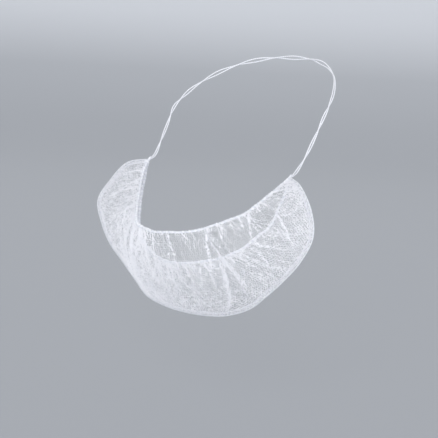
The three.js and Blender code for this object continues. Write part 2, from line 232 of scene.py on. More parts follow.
def yarnFinish(material, finish, toneAndShading, relief):
    # Shade to light by the first pattern, which is random tone on the knit and painted shade between the
    # turns on the covered elastic; raised by the relief pattern, with a faint sheen of loose fibres.
    # painted shade on the covered elastic and random tone on the knit: the colour runs from the shade colour
    # to the light one with the first pattern
    colour = addNode(material, "ShaderNodeMix",
                     {"data_type": "RGBA", 6: linear(finish["shade"]), 7: linear(finish["light"])},
                     {0: toneAndShading.outputs[0]})
    bump = addNode(material, "ShaderNodeBump",
                   {"Distance": finish["reliefDepth"] * mm, "Strength": finish["reliefStrength"]},
                   {"Height": relief.outputs[0]})
    shader = addNode(material, "ShaderNodeBsdfPrincipled",
                     {"Roughness": finish["roughness"], "IOR": finish["ior"],
                      "Sheen Weight": finish["sheen"], "Sheen Roughness": finish["sheenRoughness"]},
                     {"Base Color": colour.outputs[2], "Normal": bump.outputs[0]})
    return finishMaterial(material, shader)


knitYarn = {
    "light": "#FCFCFF", "shade": "#F1F2F7",  # bleached nylon, a trace of blue
    "roughness": 0.46, "ior": 1.53, "sheen": 0.15, "sheenRoughness": 0.4,
    "patchSize": 14.0, "patchDetail": 3.0,  # mm, slow change of whiteness from stretched to slack cloth
    "filamentSize": 0.06, "filamentDetail": 2.0,  # mm, the yarn's filaments, seen only from close by
    "reliefDepth": 0.004, "reliefStrength": 0.5,  # mm, share
}


def knittedNylonYarn():
    # Fine multifilament nylon, warp knitted and bleached: soft white threads with a slight silky gloss.
    material = newMaterial("knittedNylonYarn")
    place = addNode(material, "ShaderNodeTexCoord")
    patch = addNode(material, "ShaderNodeTexNoise",
                    {"Scale": 1 / (knitYarn["patchSize"] * mm), "Detail": knitYarn["patchDetail"]},
                    {"Vector": place.outputs["Object"]})
    filaments = addNode(material, "ShaderNodeTexNoise",
                        {"Scale": 1 / (knitYarn["filamentSize"] * mm), "Detail": knitYarn["filamentDetail"]},
                        {"Vector": place.outputs["Object"]})
    return yarnFinish(material, knitYarn, patch, filaments)


coveredElastic = {
    "light": "#F4F5F9", "shade": "#DFE2EA",  # bleached nylon; the greyer colour is painted shade where the turns meet
    "roughness": 0.55, "ior": 1.53, "sheen": 0.25, "sheenRoughness": 0.5,
    "plyPitch": 1.1,  # mm between the cover yarn's turns
    "bandScale": 0.35,  # sets the bands 1.8 pitches apart, coarser than real so that they show
    "distortion": 1.2, "detail": 2.0, "detailScale": 2.0,
    "reliefDepth": 0.05, "reliefStrength": 0.6,  # mm, share
}


def coveredElasticYarn(name, turnPitch):
    # Elastic thread spun round with nylon yarn: matt white, with slanting turns of yarn that shade each
    # other; that shade is painted into the colour as grey bands. The UV map runs along the thread in mm.
    material = newMaterial(name)
    place = addNode(material, "ShaderNodeUVMap", {"uv_map": "UVMap"})
    turns = addNode(material, "ShaderNodeTexWave",
                    {"wave_type": "BANDS", "bands_direction": "DIAGONAL",
                     "Scale": coveredElastic["bandScale"] / turnPitch,
                     "Distortion": coveredElastic["distortion"], "Detail": coveredElastic["detail"],
                     "Detail Scale": coveredElastic["detailScale"]},
                    {"Vector": place.outputs[0]})
    # painted shade: grey bands between the turns in the colour, on the same bands that raise them
    return yarnFinish(material, coveredElastic, turns, turns)


# Side tacks
tack = {
    "width": 6.4, "height": 9.2,  # the solid that the bunch stands in
    "bunchWidth": 4.6, "lean": 52.0,  # degrees, its top leans back along the head elastic
    "pleats": 11, "pleatDepth": 0.3, "flat": 0.25,
    "pleatSlant": 1.6, "pleatWander": 0.8,  # radians
    "levels": 46, "around": 88, "top": 0.95,
    "wraps": 4, "wrapRadius": 0.2, "wrapPitch": 0.36, "wrapAt": 0.12,  # the last a share of the half height
    "netStop": 0.5, "seamStop": 0.45, "edgeStop": 0.3,  # share of the tack at which each thing ends in it
}
bunchProfile = [  # share of the half height, share of the half width: flared below, tied, thin at the top
    (-1.0, 0.55), (-0.8, 0.95), (-0.45, 1.0), (-0.15, 0.78),
    (0.12, 0.5), (0.35, 0.56), (0.6, 0.55), (0.95, 0.52),
]


def insideTack(points, share):
    # True within an ellipsoid that is that share of a tack.
    centre = tackPoint * np.where(points[..., :1] < 0, -1, 1)
    radii = np.array([tack["width"] / 2, tack["width"] / 2, tack["height"] / 2]) * share
    return (((points - centre) / radii) ** 2).sum(-1) < 1


def tackParts(side):
    # Radius = profile at that height x (1 - pleats that slant a little and fade to the top), pressed flat
    # sideways; a thread is wound round its narrowest place.
    centre = tackPoint * (side, 1, 1)
    lean = math.radians(tack["lean"])
    upward = np.array([0, math.sin(lean), math.cos(lean)])
    outward = np.array([float(side), 0, 0])
    along = np.cross(upward, outward)
    levels, around = tack["levels"], tack["around"]
    rise = np.linspace(-1, tack["top"], levels)
    turn = np.linspace(0, 2 * np.pi, around, endpoint=False)
    heights, widths = np.array(bunchProfile).T
    profile = np.interp(rise, heights, widths)
    profile = np.convolve(np.pad(profile, 2, mode="edge"), np.ones(5) / 5, mode="valid")
    slant = turn[None, :] * tack["pleats"] + rise[:, None] * tack["pleatSlant"]
    slant = slant + tack["pleatWander"] * np.sin(turn[None, :] * 3)
    deep = tack["pleatDepth"] * (0.75 - 0.5 * rise[:, None])
    pleat = 1 - deep * (0.5 + 0.5 * np.cos(slant)) ** 1.5
    flat = 1 - tack["flat"] * np.cos(turn[None, :]) ** 2
    radius = tack["bunchWidth"] / 2 * profile[:, None] * pleat * flat
    path = centre + upward * (tack["height"] / 2 * rise)[:, None]
    parts = [tubeAlong(path, np.tile(outward, (levels, 1)), radius, around)]
    steps = 30 * tack["wraps"]
    angle = np.linspace(0, 2 * np.pi * tack["wraps"], steps)
    level = tack["wrapAt"] * tack["height"] / 2
    level = level + tack["wrapPitch"] * (angle / (2 * np.pi) - tack["wraps"] / 2)
    reach = tack["bunchWidth"] / 2 * 0.5 + tack["wrapRadius"] / 2
    radial = outward * (np.cos(angle) * (1 - tack["flat"]))[:, None] + along * np.sin(angle)[:, None]
    parts.append(tubeAlong(centre + radial * reach + upward * level[:, None], radial, tack["wrapRadius"], 6))
    return parts


# Net panels
net = {
    "cellPitch": 2.2,  # mm across one honeycomb cell; the real cell is a little finer
    "uneven": 0.28, "seed": 31,  # how far the knots stray, as a share of the cell
    "threadShare": 0.093,  # thread radius as a share of the pitch
    "slub": 0.42,  # how far a thread's thickness strays, as a power of e
    "threadWidth": 0.7, "threadDepth": 1.45,  # shares of that radius across and out
    "pinchGain": 1.6,  # how much thicker a thread is drawn where several lie together in a crease
    "fullPinch": 2.0,  # mm, a crease this high is pinched tight
    "creaseRise": 0.5,  # share of its height that a crease keeps where it is pressed over
    "rows": 90, "columns": 5200,  # fineness of the surface that the lattice is laid on
    "slip": 0.14,  # share of the depth over which the cells settle sideways
    "gatherPitch": 3.4, "gatherHeight": 0.6, "gatherFade": 5.0,  # puckers beside the elastic
    "gatherStart": 1.2,  # mm from the elastic to their full height
    "puckerPinch": 0.8,  # how tight the cloth is at a pucker's crest
    "seamFade": 12,  # folds are flat at the seam and full at a twelfth of the depth from it
    "crumpleHeight": 0.35,
    "layerGap": 0.25,  # each layer off the middle of the seam
    "seamOverlap": 1.5,  # how far the cloth goes on past the seam's middle
    "stations": 400,  # places at which the length along an elastic is known
    "railEnd": 0.999,  # along, just short of the tacks where all edges meet
    "longest": 3,  # a thread longer than so many cell edges is left out
}

# Broad folds, much as in the solids: start and drift along the edge, from and to across, shares of height
# and width
frontFolds = [
    (-0.86, 0.06, 0, 0.8, 0.6, 0.8), (-0.7, 0.03, 0, 0.9, 0.8, 1), (-0.52, -0.02, 0, 0.7, 0.7, 0.8),
    (-0.36, 0.04, 0, 0.9, 0.8, 0.9), (-0.2, -0.03, 0, 0.6, 0.5, 0.8), (-0.05, 0.02, 0, 0.7, 0.5, 0.9),
    (0.13, -0.02, 0, 0.6, 0.5, 0.8), (0.3, -0.03, 0, 0.5, 0.5, 0.7), (0.36, 0, 0, 0.95, 1, 0.9),
    (0.44, -0.05, 0, 0.6, 0.9, 0.8), (0.53, -0.04, 0, 0.6, 0.6, 0.7), (0.63, -0.06, 0, 0.85, 0.9, 0.8),
    (0.74, -0.03, 0, 0.6, 0.5, 0.7), (0.84, 0.04, 0, 0.8, 0.5, 0.8),
]
backFolds = [
    (-0.8, 0.08, 0, 0.9, 0.7, 0.9), (-0.62, 0.05, 0, 0.8, 0.8, 0.9), (-0.45, -0.03, 0, 0.9, 0.8, 1),
    (-0.28, 0.03, 0, 0.9, 0.8, 0.9), (-0.1, -0.02, 0, 0.8, 0.6, 0.9), (0.06, 0.02, 0, 0.9, 0.6, 0.9),
    (0.2, -0.02, 0, 0.8, 0.7, 0.8), (0.31, 0, 0, 1, 1, 0.9), (0.4, 0.03, 0, 0.7, 0.7, 0.8),
    (0.52, -0.08, 0.1, 1, 0.8, 0.9), (0.68, 0.06, 0, 0.9, 0.8, 0.9), (0.78, 0.09, 0, 0.9, 0.5, 1),
]
# Sharp creases where the cloth is pinched: along at the start, in the middle and at the end, from and to
# across, height and half width in mm
frontCreases = [
    (0.322, 0.286, 0.208, 0.33, 0.97, 4.0, 1.3),
    (0.377, 0.292, 0.257, 0, 0.51, 3.2, 0.9), (0.445, 0.427, 0.315, 0, 0.29, 2.4, 0.8),
    (0.508, 0.499, 0.429, 0, 0.35, 1.6, 0.9), (0.588, 0.563, 0.552, 0, 0.23, 2.0, 0.7),
    (0.653, 0.577, 0.477, 0, 0.48, 3.4, 1.0), (0.724, 0.698, 0.673, 0, 0.14, 2.0, 0.7),
    (0.769, 0.743, 0.717, 0.06, 0.2, 1.4, 0.7), (0.27, 0.255, 0.229, 0, 0.19, 1.6, 0.8),
    (0.402, 0.388, 0.374, 0, 0.09, 1.6, 0.7), (0.33, 0.322, 0.314, 0, 0.08, 1.6, 0.7),
    (0.62, 0.612, 0.6, 0, 0.12, 1.8, 0.7), (0.84, 0.82, 0.8, 0, 0.3, 1.4, 0.7),
    (0.12, 0.1, 0.06, 0, 0.3, 1.5, 0.7), (0, 0, -0.02, 0, 0.4, 1.6, 0.7),
    (-0.14, -0.13, -0.1, 0, 0.35, 1.6, 0.7), (-0.3, -0.24, -0.22, 0, 0.5, 2.8, 0.9),
    (-0.42, -0.39, -0.33, 0, 0.36, 1.8, 0.7), (-0.55, -0.51, -0.44, 0, 0.55, 2.8, 0.9),
    (-0.66, -0.64, -0.6, 0, 0.3, 1.8, 0.7), (-0.78, -0.74, -0.66, 0, 0.5, 2.2, 0.7),
    (-0.88, -0.86, -0.82, 0, 0.4, 1.4, 0.7), (-0.35, -0.3, -0.27, 0.55, 0.85, 1.6, 0.7),
]
backCreases = [
    (0.316, 0.262, 0.204, 0, 0.99, 5.0, 1.5), (0.224, 0.139, 0.129, 0, 0.72, 2.0, 0.7),
    (0.39, 0.366, 0.329, 0, 0.36, 2.8, 0.9), (0.38, 0.377, 0.374, 0.32, 0.5, 1.8, 0.7),
    (0.374, 0.32, 0.262, 0.46, 0.77, 2.4, 0.8), (0.4, 0.386, 0.372, 0.48, 0.6, 1.6, 0.7),
    (0.339, 0.316, 0.292, 0.63, 0.8, 1.6, 0.7), (0.448, 0.48, 0.537, 0.2, 0.78, 3.0, 1.0),
    (0.41, 0.425, 0.441, 0.51, 0.77, 1.8, 0.7), (0.554, 0.587, 0.634, 0, 0.6, 3.2, 1.1),
    (0.509, 0.503, 0.497, 0.15, 0.55, 2.2, 0.8), (0.784, 0.691, 0.63, 0, 0.7, 3.4, 1.0),
    (0.717, 0.679, 0.656, 0.03, 0.38, 2.4, 0.8), (0.45, 0.44, 0.43, 0, 0.2, 2.0, 0.8),
    (0.05, 0.03, 0.02, 0, 0.5, 1.8, 0.7), (-0.08, -0.05, -0.06, 0, 0.6, 2.0, 0.8),
    (-0.2, -0.18, -0.13, 0, 0.7, 2.6, 0.9), (-0.33, -0.27, -0.24, 0, 0.85, 3.2, 1.0),
    (-0.45, -0.49, -0.5, 0, 0.7, 2.4, 0.9), (-0.56, -0.61, -0.64, 0, 0.6, 2.4, 0.8),
    (-0.7, -0.69, -0.66, 0, 0.5, 2.0, 0.8), (-0.8, -0.74, -0.7, 0, 0.5, 2.0, 0.7),
    (-0.26, -0.24, -0.2, 0.3, 0.8, 1.6, 0.7),
]


smallCreases = {
    "count": 60, "reach": 0.93,  # along, how near to the tacks they come
    "fromEdge": 0.55,  # share that starts at the elastic
    "lastStart": 0.7, "lastEnd": 0.98,  # across
    "length": (0.08, 0.3), "height": (0.5, 1.5), "width": (0.5, 0.9),  # share of the depth, mm, mm
    "drift": 0.05, "bow": 0.012,  # along, how far they slant and curve
}


def fineCreases(seed):
    # Small seeded creases between the large ones, about half of them from the elastic.
    chance = np.random.default_rng(seed)
    count, reach = smallCreases["count"], smallCreases["reach"]
    start = chance.uniform(-reach, reach, count)
    fromEdge = chance.random(count) < smallCreases["fromEdge"]
    begin = np.where(fromEdge, 0, chance.uniform(0, smallCreases["lastStart"], count))
    length = chance.uniform(*smallCreases["length"], count)
    drift = chance.normal(0, smallCreases["drift"], count)
    height = chance.uniform(*smallCreases["height"], count)
    width = chance.uniform(*smallCreases["width"], count)
    middle = start + drift / 2 + chance.normal(0, smallCreases["bow"], count)
    end = np.minimum(begin + length, smallCreases["lastEnd"])
    return np.column_stack([start, middle, start + drift, begin, end, height, width]).tolist()


panels = [
    {
        "name": "net_front", "heldBy": "lip_elastic", "rail": lipPoints, "side": -1,
        "puff": fit["frontPuff"], "puffColumn": 1,
        "folds": frontFolds, "creases": frontCreases + fineCreases(11),
        "flat": (0.2115, 0.087), "flatArea": 0.0105,  # m and m2 for each half: half the seam by the depth
    },
    {
        "name": "net_back", "heldBy": "throat_elastic", "rail": throatPoints, "side": 1,
        "puff": fit["backPuff"], "puffColumn": 2,
        "folds": backFolds, "creases": backCreases + fineCreases(23),
        "flat": (0.2115, 0.059), "flatArea": 0.0075,
    },
]


crease = {
    "span": 160.0,  # mm for 1 along, the mean half length of a row
    "bend": 0.004,  # along, a slight snaking
    "early": 0.35,  # share of the half sine that is skipped where a crease starts at the elastic
    "fullness": 0.6,  # power that keeps a crease high over most of its run
    "waver": 0.18, "waves": 23,  # share by which its height comes and goes, radians over its run
    "mostPinch": 1.5,
}


def foldHeight(panel, along, depth):
    # Broad bells that start at part height and fade out, then sharp creases on a quadratic path: a bell
    # across whose height is a half sine along its run. Gives the height in mm and how tightly the cloth is
    # pinched, from 0 to the most.
    stretch = 2 * fit["wingHalfSpan"]
    height = np.zeros(np.broadcast_shapes(along.shape, depth.shape))
    pinch = np.zeros(height.shape)
    for start, drift, begin, end, tall, wide in panel["folds"]:
        run = (depth - begin) / (end - begin)
        offset = (along - start - drift * run) * stretch
        bell = np.exp(-((offset / (wide * fit["foldWidth"] / 2)) ** 2))
        rise = np.sin(np.pi * np.minimum(run + 0.2, 1)) * ((run > 0) & (run < 1))
        height += tall * fit["foldHeight"] * bell * rise
    for start, middle, stop, begin, end, tall, wide in panel["creases"]:
        run = (depth - begin) / (end - begin)
        inside = (run > 0) & (run < 1)
        path = start * (1 - run) * (1 - 2 * run) + 4 * middle * run * (1 - run) + stop * run * (2 * run - 1)
        bend = crease["bend"] * np.sin(3 * np.pi * run + start * 40)
        offset = (along - path - bend) * crease["span"]
        early = crease["early"] if begin == 0 else 0.0
        rise = np.sin(np.pi * np.clip(early + (1 - early) * run, 0, 1)) ** crease["fullness"]
        waver = crease["waver"] * np.sin(crease["waves"] * run + start * 90)
        rise = rise * (1 - crease["waver"] + waver)
        crest = np.exp(-((offset / wide) ** 2)) * rise * inside
        height += tall * net["creaseRise"] * crest
        pinch = np.maximum(pinch, crest * min(crease["mostPinch"], tall / net["fullPinch"]))
    return height, pinch


def panelSurface(panel, along, depth):
    # The straight line from the elastic to the seam, bellied out as a parabola, with folds and puckers on it.
    # A pucker is a sine along the elastic whose phase wanders and whose height swells on slower sines; the
    # crumple is the product of a sine along and a sine across.
    start, end = railAt(panel["rail"], along), railAt(seamPoints, along)
    chord = end - start
    room = np.linalg.norm(chord, axis=-1)
    run = railDirection(panel["rail"], along) + railDirection(seamPoints, along)
    outward = unit(np.cross(run, chord)) * panel["side"]
    belly = railAt(puffPoints, along)[..., panel["puffColumn"]] * panel["puff"] * 4 * depth * (1 - depth)
    away = depth * room
    place = np.interp(along, panel["stations"], panel["lengths"])
    phase = 2 * np.pi * place / net["gatherPitch"]
    wander = 1.3 * np.sin(phase * 0.137 + 1.1) + 0.8 * np.sin(phase * 0.311 + panel["side"])
    pucker = np.sin(phase + wander) * (0.75 + 0.35 * np.sin(phase * 0.23 + 0.6))
    fade = np.exp(-away / net["gatherFade"])
    gather = net["gatherHeight"] * pucker * fade * np.minimum(away / net["gatherStart"], 1)
    slow, quick = np.sin(place * 0.45 + 2 * np.sin(away * 0.09)), np.sin(away * 0.21 + place * 0.06)
    folds, pinch = foldHeight(panel, along, depth)
    loose = np.minimum(1, room / fit["foldWidth"] / 2) * np.minimum(1, (1 - depth) * net["seamFade"])
    height = belly + (folds + gather + net["crumpleHeight"] * slow * quick) * loose
    height = height + net["layerGap"] * depth**3
    pinch = np.maximum(pinch, np.maximum(pucker, 0) ** 2 * fade * net["puckerPinch"])
    return start + chord * depth[..., None] + outward * height[..., None], pinch


def seamOutward(along):
    # Away from both elastics, square to the seam.
    seam = railAt(seamPoints, along)
    outward = unit(seam - railAt(lipPoints, along)) + unit(seam - railAt(throatPoints, along))
    ahead = railDirection(seamPoints, along)
    return unit(outward - (outward * ahead).sum(-1, keepdims=True) * ahead)


def clothGrid(panel):
    # Rows from the elastic to past the seam, each cut into equal steps of real cloth, so that a fold takes
    # up as much cloth as it does on the object. The steps of a row are averaged with those of its
    # neighbours, which keeps the cells in line from row to row. Gives points, pinch and the rows' lengths.
    fine = np.linspace(-net["railEnd"], net["railEnd"], net["columns"])
    depth = np.linspace(0, 1, net["rows"])
    surface, _ = panelSurface(panel, fine[None, :], np.broadcast_to(depth[:, None], (len(depth), len(fine))))
    steps = np.linalg.norm(np.diff(surface, axis=1), axis=2)
    weights = np.exp(-(((depth[:, None] - depth[None, :]) / net["slip"]) ** 2))
    steps = weights / weights.sum(1, keepdims=True) @ steps
    length = np.concatenate([np.zeros((len(depth), 1)), np.cumsum(steps, axis=1)], axis=1)
    share = np.linspace(0, 1, net["columns"])
    along = np.stack([np.interp(share * row[-1], row, fine) for row in length])
    grid, pinch = panelSurface(panel, along, np.broadcast_to(depth[:, None], along.shape))
    beyond = seamOutward(along[-1])
    past = [grid[-1] + beyond * net["seamOverlap"] * part for part in (0.5, 1.0)]
    still = np.zeros((2, pinch.shape[1]))
    return np.concatenate([grid, np.stack(past)]), np.concatenate([pinch, still]), length[:, -1]


def onGrid(grid, row, column):
    # Value of the grid at fractional rows and columns.
    r0 = np.clip(row.astype(int), 0, grid.shape[0] - 2)
    c0 = np.clip(column.astype(int), 0, grid.shape[1] - 2)
    fr, fc = (row - r0)[..., None], (column - c0)[..., None]
    upper = grid[r0, c0] * (1 - fc) + grid[r0, c0 + 1] * fc
    lower = grid[r0 + 1, c0] * (1 - fc) + grid[r0 + 1, c0 + 1] * fc
    return upper * (1 - fr) + lower * fr


def honeycomb(panel):
    # Zigzag threads along the panel and short ties between them, with cells of one size in the cloth.
    grid, pinch, rowLengths = clothGrid(panel)
    pitch = net["cellPitch"]
    edge = pitch / math.sqrt(3)
    normals = unit(np.cross(np.gradient(grid, axis=1), np.gradient(grid, axis=0))) * panel["side"]
    down = np.concatenate([np.zeros((1, grid.shape[1])),
                           np.cumsum(np.linalg.norm(np.diff(grid, axis=0), axis=2), axis=0)])
    width = rowLengths.max()
    rowCount = int(down[-1].max() / (1.5 * edge)) + 2
    columnCount = int(2 * width / pitch) + 1
    j, k = np.meshgrid(np.arange(columnCount), np.arange(rowCount))
    outer = (j + k) % 2 == 1
    t = 1.5 * edge * k + np.where(outer, edge / 4, -edge / 4) + edge * 0.3
    column = j * (pitch / 2) / width * (grid.shape[1] - 1)
    nearest = np.minimum(np.round(column[0]).astype(int), grid.shape[1] - 1)
    reach = down[:, nearest]
    row = np.zeros(t.shape)
    at = np.arange(columnCount)
    for n in range(rowCount):
        below = np.clip((reach <= t[n]).sum(0) - 1, 0, len(reach) - 2)
        gap = np.maximum(reach[below + 1, at] - reach[below, at], 1e-6)
        row[n] = below + (t[n] - reach[below, at]) / gap
    chance = np.random.default_rng(net["seed"])
    column = np.clip(column + chance.normal(0, net["uneven"], j.shape) * column[0, 1], 0, grid.shape[1] - 1)
    row = np.clip(row + chance.normal(0, net["uneven"], j.shape) * 0.5, 0, grid.shape[0] - 1)
    points = onGrid(grid, row, column)
    normal = unit(onGrid(normals, row, column))
    pinched = onGrid(pinch[..., None], row, column)[..., 0]
    radius = pitch * net["threadShare"] * (1 + net["pinchGain"] * pinched)
    radius = radius * np.exp(np.clip(net["slub"] * chance.normal(0, 1, radius.shape), -1, 1))
    valid = (t < reach[-1]) & (column <= grid.shape[1] - 1) & ~insideTack(points, tack["netStop"])
    longest = net["longest"] * edge
    near = np.linalg.norm(np.diff(points, axis=1), axis=2) < longest
    joined = np.zeros(valid.shape, bool)
    joined[:, :-1] = valid[:, :-1] & valid[:, 1:] & near
    tied = outer[:-1] & valid[:-1] & valid[1:] & (np.linalg.norm(np.diff(points, axis=0), axis=2) < longest)
    cells = np.linalg.norm(np.cross(np.diff(grid, axis=0)[:, :-1], np.diff(grid, axis=1)[:-1]), axis=2)
    print(panel["name"], "laid area", round(cells.sum()), "mm2, widest row", round(width), "mm, deepest",
          round(down[-1].max()), "mm")
    return points, normal, radius, joined, tied


def threadRuns(points, normals, directions, joined, radius):
    # Three-sided threads through rows of points, each point with its own radius, deeper than they are wide
    # as the loops of a knit lie on each other. joined says if a point is tied to the next one. Each run gets
    # a ring at each point and a cap at both ends.
    used = np.zeros(len(points), bool)
    used[:-1] |= joined
    used[1:] |= joined
    newNumber = np.cumsum(used) - 1
    first = newNumber[:-1][joined]
    centre, along, normal = points[used], unit(directions[used]), normals[used]
    side = unit(np.cross(along, normal))
    out = np.cross(side, along)
    turn = np.radians((30, 150, 270))  # one flat side faces out
    ring = centre[:, None] + radius[used][:, None, None] * (
        net["threadWidth"] * np.cos(turn)[None, :, None] * side[:, None]
        + net["threadDepth"] * np.sin(turn)[None, :, None] * out[:, None])
    corner = np.arange(3)
    nextCorner = (corner + 1) % 3
    a, b = first[:, None] * 3 + corner, first[:, None] * 3 + nextCorner
    quads = np.stack([b, a, a + 3, b + 3], axis=-1).reshape(-1, 4)
    tiedBack = np.zeros(len(points), bool)
    tiedBack[1:] = joined
    tiedOn = np.zeros(len(points), bool)
    tiedOn[:-1] = joined
    starts = newNumber[used & ~tiedBack]
    stops = newNumber[used & ~tiedOn]
    caps = np.concatenate([starts[:, None] * 3 + corner, stops[:, None] * 3 + corner[::-1]])
    return ring.reshape(-1, 3), [quads, caps]


def netHalves(panel, material):
    # The panel as a left and a right mesh; the ties belong to the side of their first end.
    points, normal, radius, joined, tied = honeycomb(panel)
    ahead = np.gradient(points, axis=1)
    halves = []
    for label, side in (("left", 1), ("right", -1)):
        mine = points[..., 0] * side > 0
        threads, threadFaces = threadRuns(points.reshape(-1, 3), normal.reshape(-1, 3), ahead.reshape(-1, 3),
                                          (joined & mine).ravel()[:-1], radius.ravel())
        here = tied & mine[:-1]
        upper, lower = points[:-1][here], points[1:][here]
        pairs = np.stack([upper, lower], axis=1).reshape(-1, 3)
        ties, tieFaces = threadRuns(pairs, np.repeat(normal[:-1][here], 2, axis=0),
                                    np.repeat(lower - upper, 2, axis=0), np.arange(len(pairs) - 1) % 2 == 0,
                                    np.repeat(radius[:-1][here], 2))
        faces = threadFaces + [group + len(threads) for group in tieFaces]
        name = panel["name"] + "_cloth_" + label
        obj = makeMesh(name, np.concatenate([threads, ties]), faces, smooth=False)
        obj.data.materials.append(material)
        halves.append(obj)
        print(obj.name, sum(len(group) * (group.shape[1] - 2) for group in faces), "triangles")
    return halves


# Gathered edges
ruche = {
    "lipThickness": 2.4, "lipSeed": 5, "throatThickness": 2.6, "throatSeed": 6,
    "step": 0.3, "sides": 12,
    "ridgePitch": 2.5, "ridgeDepth": 0.9, "core": 0.52,  # mm, then shares of the half thickness
    "ridgeSlant": 0.9,  # radians
    "tallSpacing": 1.3, "tall": (0.3, 1), "slipSpacing": 4.0, "slip": (0, 2.2),  # uneven heights and phases
    "sway": 0.3, "swaySpacings": (3.1, 4.3),  # mm, how far the elastic strays from a fair line
    "stitchPitch": 2.1, "stitchRadius": 0.15, "stitchReach": 0.92, "stitchSteps": 12,
}


def unevenAlong(length, spacing, low, high, chance):
    # Seeded values at every spacing mm, joined by straight lines.
    knots = np.arange(0, length[-1] + 2 * spacing, spacing)
    return np.interp(length, knots, chance.uniform(low, high, len(knots)))[:, None]


def edgeFrame(rail, along):
    centre = railAt(rail, along)
    ahead = railDirection(rail, along)
    outward = unit(centre * (1, 1, 0))
    across = unit(np.cross(ahead, outward))
    return centre, np.cross(across, ahead), across


def gatheredEdge(rail, thickness, seed):
    # A sleeve of net pushed into ridges over the elastic: radius = core + ridges of uneven height, pressed
    # into a slant, with an overedge thread wound round it.
    chance = np.random.default_rng(seed)
    along, length = evenPath(rail, ruche["step"])
    centre, out, across = edgeFrame(rail, along)
    keep = ~insideTack(centre, tack["edgeStop"])
    along, length, centre, out, across = (values[keep] for values in (along, length, centre, out, across))
    sides = ruche["sides"]
    turn = np.linspace(0, 2 * np.pi, sides, endpoint=False)[None, :]
    tall = unevenAlong(length, ruche["tallSpacing"], *ruche["tall"], chance)
    slip = unevenAlong(length, ruche["slipSpacing"], *ruche["slip"], chance)
    sway = [unevenAlong(length, spacing, -ruche["sway"], ruche["sway"], chance)
            for spacing in ruche["swaySpacings"]]
    centre = centre + out * sway[0] + across * sway[1]
    phase = 2 * np.pi * length[:, None] / ruche["ridgePitch"] + slip + ruche["ridgeSlant"] * np.sin(turn)
    wave = 0.5 + 0.5 * np.cos(phase)
    radius = thickness / 2 * (ruche["core"] + ruche["ridgeDepth"] * wave**1.5 * tall)
    parts = [tubeAlong(centre, out, radius, sides)]
    place = np.linspace(length[0], length[-1], int(length[-1] / ruche["stitchPitch"] * ruche["stitchSteps"]))
    angle = 2 * np.pi * place[:, None] / ruche["stitchPitch"]
    centre, out, across = edgeFrame(rail, np.interp(place, length, along))
    radial = np.cos(angle) * out + np.sin(angle) * across
    line = centre + radial * (thickness / 2 * ruche["stitchReach"])
    parts.append(tubeAlong(line, radial, ruche["stitchRadius"], 5))
    return joinParts(parts)


# Overlocked seam
overlock = {
    "width": 3.4, "thickness": 1.1,
    "step": 0.45, "stitchSteps": 18,
    "stitch": 2.4,  # mm from one stitch to the next
    "looperRadius": 0.16, "needleRadius": 0.38, "edgeRadius": 0.42,
    "needleInset": 1.5, "edgeInset": 0.2,
}


def overlockedSeam():
    # Looper threads go round the cloth edge as a flat helix; a needle thread runs along its inner side on
    # both faces, and a purl of looped thread along its outer side.
    along, length = evenPath(seamPoints, overlock["step"])
    keep = ~insideTack(railAt(seamPoints, along), tack["seamStop"])
    along, length = along[keep], length[keep]
    seam, ahead, outward = railAt(seamPoints, along), railDirection(seamPoints, along), seamOutward(along)
    across = np.cross(ahead, outward)
    half, deep = overlock["width"] / 2, overlock["thickness"] / 2
    outer = half - overlock["edgeInset"]
    parts = []
    for face in (1, -1):
        dip = np.abs(np.sin(np.pi * length / overlock["stitch"] + (0.6 if face < 0 else 0)))[:, None]
        line = seam - outward * overlock["needleInset"] + across * face * (deep * 0.55 + 0.2 * dip)
        parts.append(tubeAlong(line, across * face, overlock["needleRadius"] * (0.75 + 0.35 * dip), 6))
    purl = 2 * np.pi * length[:, None] / (overlock["stitch"] / 2)
    line = seam + outward * (outer + 0.12 * np.cos(purl)) + across * (0.16 * np.sin(purl))
    parts.append(tubeAlong(line, outward, overlock["edgeRadius"], 6))
    stitches = (length[-1] - length[0]) / overlock["stitch"]
    place = np.linspace(length[0], length[-1], int(stitches * overlock["stitchSteps"]))
    at = np.interp(place, length, along)
    seam, ahead, outward = railAt(seamPoints, at), railDirection(seamPoints, at), seamOutward(at)
    across = np.cross(ahead, outward)
    middle, spread = (outer - overlock["needleInset"]) / 2, (outer + overlock["needleInset"]) / 2
    for start in (0, 0.5):
        angle = 2 * np.pi * (place[:, None] / overlock["stitch"] + start)
        loop = seam + outward * (middle + spread * np.cos(angle)) + across * (deep * np.sin(angle))
        radial = np.cos(angle) * outward + np.sin(angle) * across
        parts.append(tubeAlong(loop, radial, overlock["looperRadius"], 4))
    return joinParts(parts)


# Head elastic
strand = {
    "laid": 1.3, "thickness": 1.15,  # mm, the solid that carries it and the yarn at rest
    "gap": 0.3, "part": 1.6, "twistPitch": 62.0,
    "plies": 3, "plyPitch": 2.6, "plyDepth": 0.1,
    "step": 0.4, "sides": 12,
}


def headStrand(phase):
    # Two strands wind round the loop's middle line and part between the tacks; each has slanting plies.
    along, _ = evenPath(loopPoints, strand["step"])
    centre, ahead = railAt(loopPoints, along), railDirection(loopPoints, along)
    out = unit(np.cross(ahead, (0, 0, 1)))
    across = np.cross(out, ahead)
    halfLoop = fit["loopBack"] + fit["loopHalfSpan"]
    turn = (2 * np.pi * along * halfLoop / strand["twistPitch"] + phase)[:, None]
    apart = (strand["laid"] + strand["gap"]) / 2
    parted = strand["part"] / 2 * np.abs(np.sin(turn)) * np.sin(np.pi * (1 - along[:, None]) / 2) ** 2
    line = centre + out * apart * np.cos(turn) + across * (apart + parted) * np.sin(turn)
    line = line[~insideTack(line, tack["edgeStop"])]
    sides = strand["sides"]
    ring = np.linspace(0, 2 * np.pi, sides, endpoint=False)[None, :]
    slant = 2 * np.pi * pathLength(line)[:, None] / strand["plyPitch"]
    ply = np.cos(strand["plies"] * ring - slant)
    radius = strand["thickness"] / 2 * (1 - strand["plyDepth"] + strand["plyDepth"] * ply)
    return tubeAlong(line, np.tile((0.0, 0, 1.0), (len(line), 1)), radius, sides)


